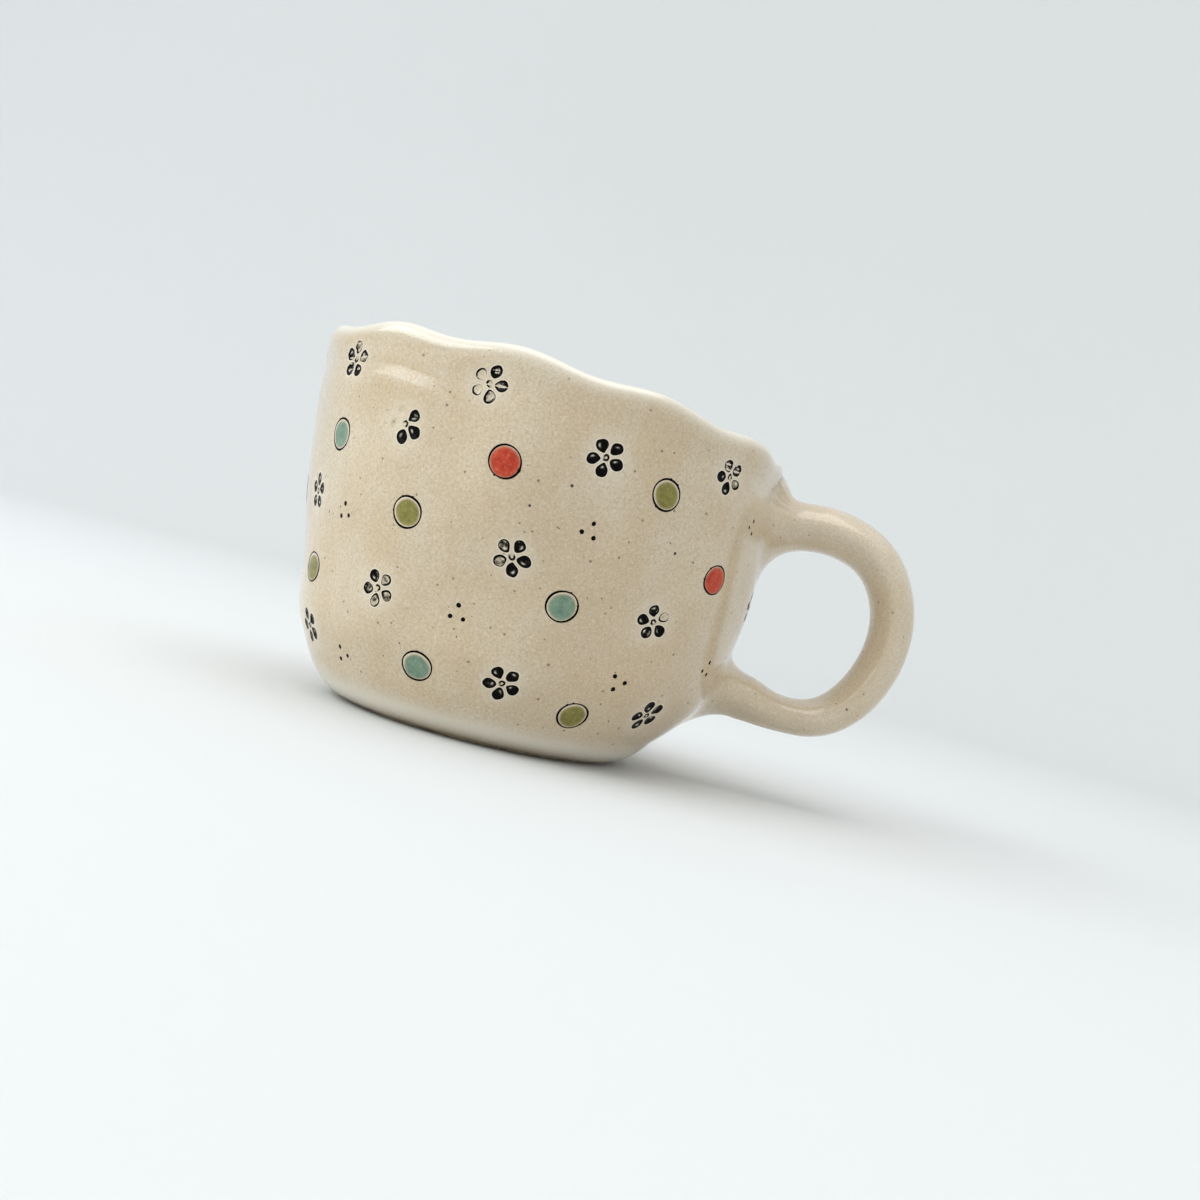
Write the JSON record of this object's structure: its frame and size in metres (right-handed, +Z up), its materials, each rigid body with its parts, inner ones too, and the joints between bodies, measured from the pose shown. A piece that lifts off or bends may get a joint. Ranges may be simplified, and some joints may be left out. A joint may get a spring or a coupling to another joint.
{
  "type": "stoneware mug",
  "caption": "Small hand-built stoneware mug with a wavy rim, rounded foot, ear-shaped pulled handle and a pattern of stamped flowers and painted discs.",
  "frame": {"origin": "centre of the flat base, on the plane the mug stands on", "axes": "+Z up through the mouth, +X towards the handle; the pattern's best-seen side faces -Y"},
  "size_m": [0.1301, 0.095, 0.0715],
  "materials": {
    "cream_glaze": "glossy cream glaze with fine iron specks",
    "handle_glaze": "glossy cream glaze",
    "inner_glaze": "glossy cream glaze",
    "bare_clay": "matt unglazed fired clay"
  },
  "bodies": {
    "root": {"wall": "cream_glaze", "base": "bare_clay", "seam_coil": "inner_glaze", "handle": "handle_glaze", "root_upper": "handle_glaze", "root_lower": "handle_glaze"}
  },
  "joints": []
}
